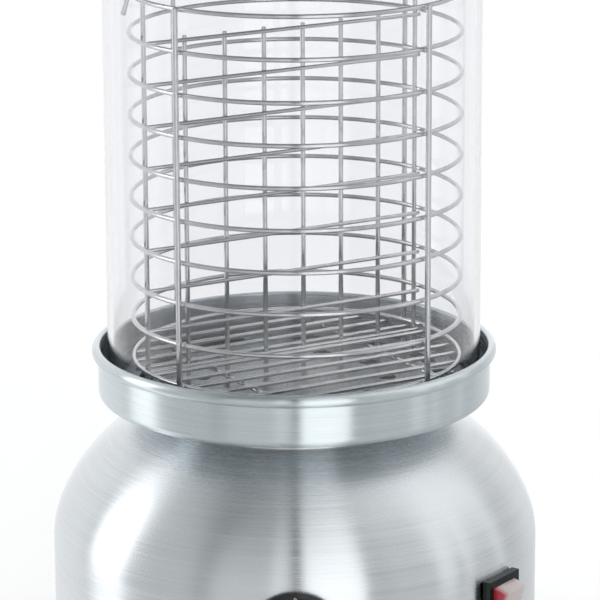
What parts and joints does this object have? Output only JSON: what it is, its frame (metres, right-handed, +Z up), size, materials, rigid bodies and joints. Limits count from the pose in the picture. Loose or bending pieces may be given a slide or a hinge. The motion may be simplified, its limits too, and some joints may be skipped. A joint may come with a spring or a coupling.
{
  "type": "hot dog steamer",
  "caption": "Round counter-top steamer: spun base with thermostat and rocker switch, rimmed pan, glass cylinder, wire basket with hooked divider, and a lid.",
  "frame": {"origin": "on the table under the steamer's axis", "axes": "+Z up along the axis, -Y towards the front with the knob, +X towards the side with the switch"},
  "size_m": [0.262, 0.289, 0.4534],
  "materials": {
    "rubber": "moulded, matt",
    "plate_steel": "galvanised sheet, dull",
    "housing_aluminium": "spun, fine lines round the axis",
    "pan_aluminium": "spun, fine lines round the axis",
    "lid_aluminium": "spun, fine lines round the axis",
    "zinc_steel": "zinc plated",
    "tank_steel": "drawn stainless steel",
    "heater_sheath": "heat-darkened sheath",
    "brown_plastic": "phenolic moulding",
    "black_plastic": "moulded, fine texture",
    "knob_plastic": "moulded, half gloss",
    "white_plastic": "moulded",
    "brass": "stamped",
    "copper_tube": "drawn copper",
    "rocker_plastic": "translucent red moulding",
    "glass": "clear borosilicate cylinder",
    "wire_steel": "bright drawn stainless wire"
  },
  "bodies": {
    "root": {"rubber_feet": "rubber", "base_plate": "plate_steel", "base_housing": "housing_aluminium", "rim_screws": "zinc_steel", "foot_screws": "zinc_steel", "bracket_screws": "zinc_steel", "hex_nuts": "zinc_steel", "water_tank": "tank_steel", "tank_nuts": "zinc_steel", "heating_element": "heater_sheath", "heater_clamp_plate": "plate_steel", "clamp_nut": "zinc_steel", "overheat_cutout": "brown_plastic", "thermostat_bracket": "plate_steel", "thermostat_body": "black_plastic", "neck_nut": "zinc_steel", "bulb_pocket": "copper_tube", "sensor_bulb": "copper_tube", "capillary_tube": "copper_tube", "switch_frame": "black_plastic", "switch_terminals": "brass", "cord_gland": "black_plastic", "gland_nut": "black_plastic", "terminal_block": "white_plastic"},
    "knob": {"thermostat_knob": "knob_plastic", "thermostat_shaft": "zinc_steel"},
    "rocker": {"switch_rocker": "rocker_plastic"},
    "pan": {"drip_pan": "pan_aluminium", "steam_plate": "tank_steel"},
    "glass": {"glass_cylinder": "glass"},
    "basket": {"basket_rings": "wire_steel", "basket_uprights": "wire_steel", "basket_floor": "wire_steel"},
    "divider": {"divider_wires": "wire_steel", "divider_bars": "wire_steel", "divider_hook_left": "wire_steel", "divider_hook_right": "wire_steel"},
    "lid": {"lid": "lid_aluminium", "lid_knob": "knob_plastic", "lid_washer": "zinc_steel", "lid_screw": "zinc_steel"}
  },
  "joints": [
    {"name": "knob_turn", "type": "hinge", "parent": "root", "child": "knob", "pos_m": [0, -0.131, 0.061], "axis": [0, 1, 0], "range_deg": [0, 270]},
    {"name": "switch_rock", "type": "hinge", "parent": "root", "child": "rocker", "pos_m": [0.10752, -0.07812, 0.061], "axis": [0.5878, 0.809, 0], "range_deg": [-18, 0]},
    {"name": "pan_lift", "type": "slide", "parent": "root", "child": "pan", "axis": [0, 0, 1], "range_m": [0, 0.04]},
    {"name": "glass_lift", "type": "slide", "parent": "pan", "child": "glass", "axis": [0, 0, 1], "range_m": [0, 0.06]},
    {"name": "basket_lift", "type": "slide", "parent": "glass", "child": "basket", "axis": [0, 0, 1], "range_m": [0, 0.24]},
    {"name": "divider_lift", "type": "slide", "parent": "basket", "child": "divider", "axis": [0, 0, 1], "range_m": [0, 0.22]},
    {"name": "lid_lift", "type": "slide", "parent": "divider", "child": "lid", "axis": [0, 0, 1], "range_m": [0, 0.06]}
  ]
}
